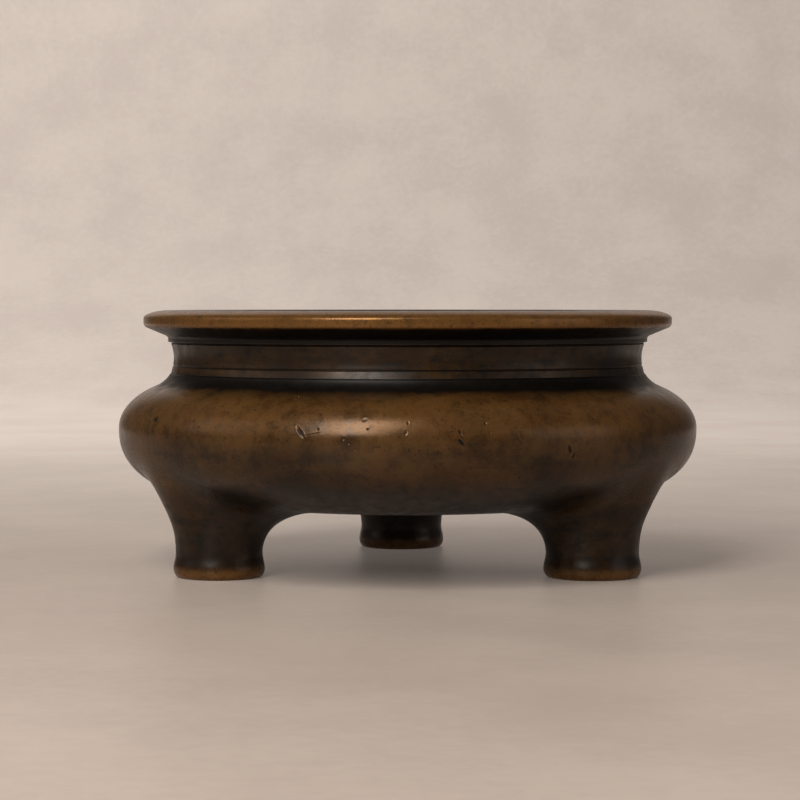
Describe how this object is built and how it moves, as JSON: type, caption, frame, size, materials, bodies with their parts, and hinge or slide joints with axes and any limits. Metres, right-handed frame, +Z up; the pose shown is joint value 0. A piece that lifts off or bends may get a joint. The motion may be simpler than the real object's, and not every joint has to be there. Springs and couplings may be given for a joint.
{
  "type": "tripod incense burner",
  "caption": "Low round bronze bowl with a waisted neck and a thick everted lip, standing on short round hollow feet.",
  "frame": {"origin": "centre of the bowl on the ground plane that the soles stand on", "axes": "+Z up along the bowl's axis; the front, between two of the feet, towards -Y; +X to the right seen from the front"},
  "size_m": [0.22, 0.22, 0.098],
  "materials": {
    "patinated_bronze": "cast bronze with a mottled brown patina, worn golden on the lip, burnished smooth by handling",
    "foot_bronze": "the same bronze and patina, worn brighter round the edge of the sole",
    "chaplet_bronze": "darker cast bronze, filed flush with the floor",
    "casting_clay": "fired sandy clay, matt and rough"
  },
  "bodies": {
    "root": {"vessel_body": "patinated_bronze", "leg_front_left": "foot_bronze", "leg_front_right": "foot_bronze", "leg_back": "foot_bronze", "leg_core_front_left": "casting_clay", "leg_core_front_right": "casting_clay", "leg_core_back": "casting_clay", "floor_chaplet_centre": "chaplet_bronze", "floor_chaplet_left": "chaplet_bronze", "floor_chaplet_right": "chaplet_bronze", "floor_chaplet_front": "chaplet_bronze"}
  },
  "joints": []
}
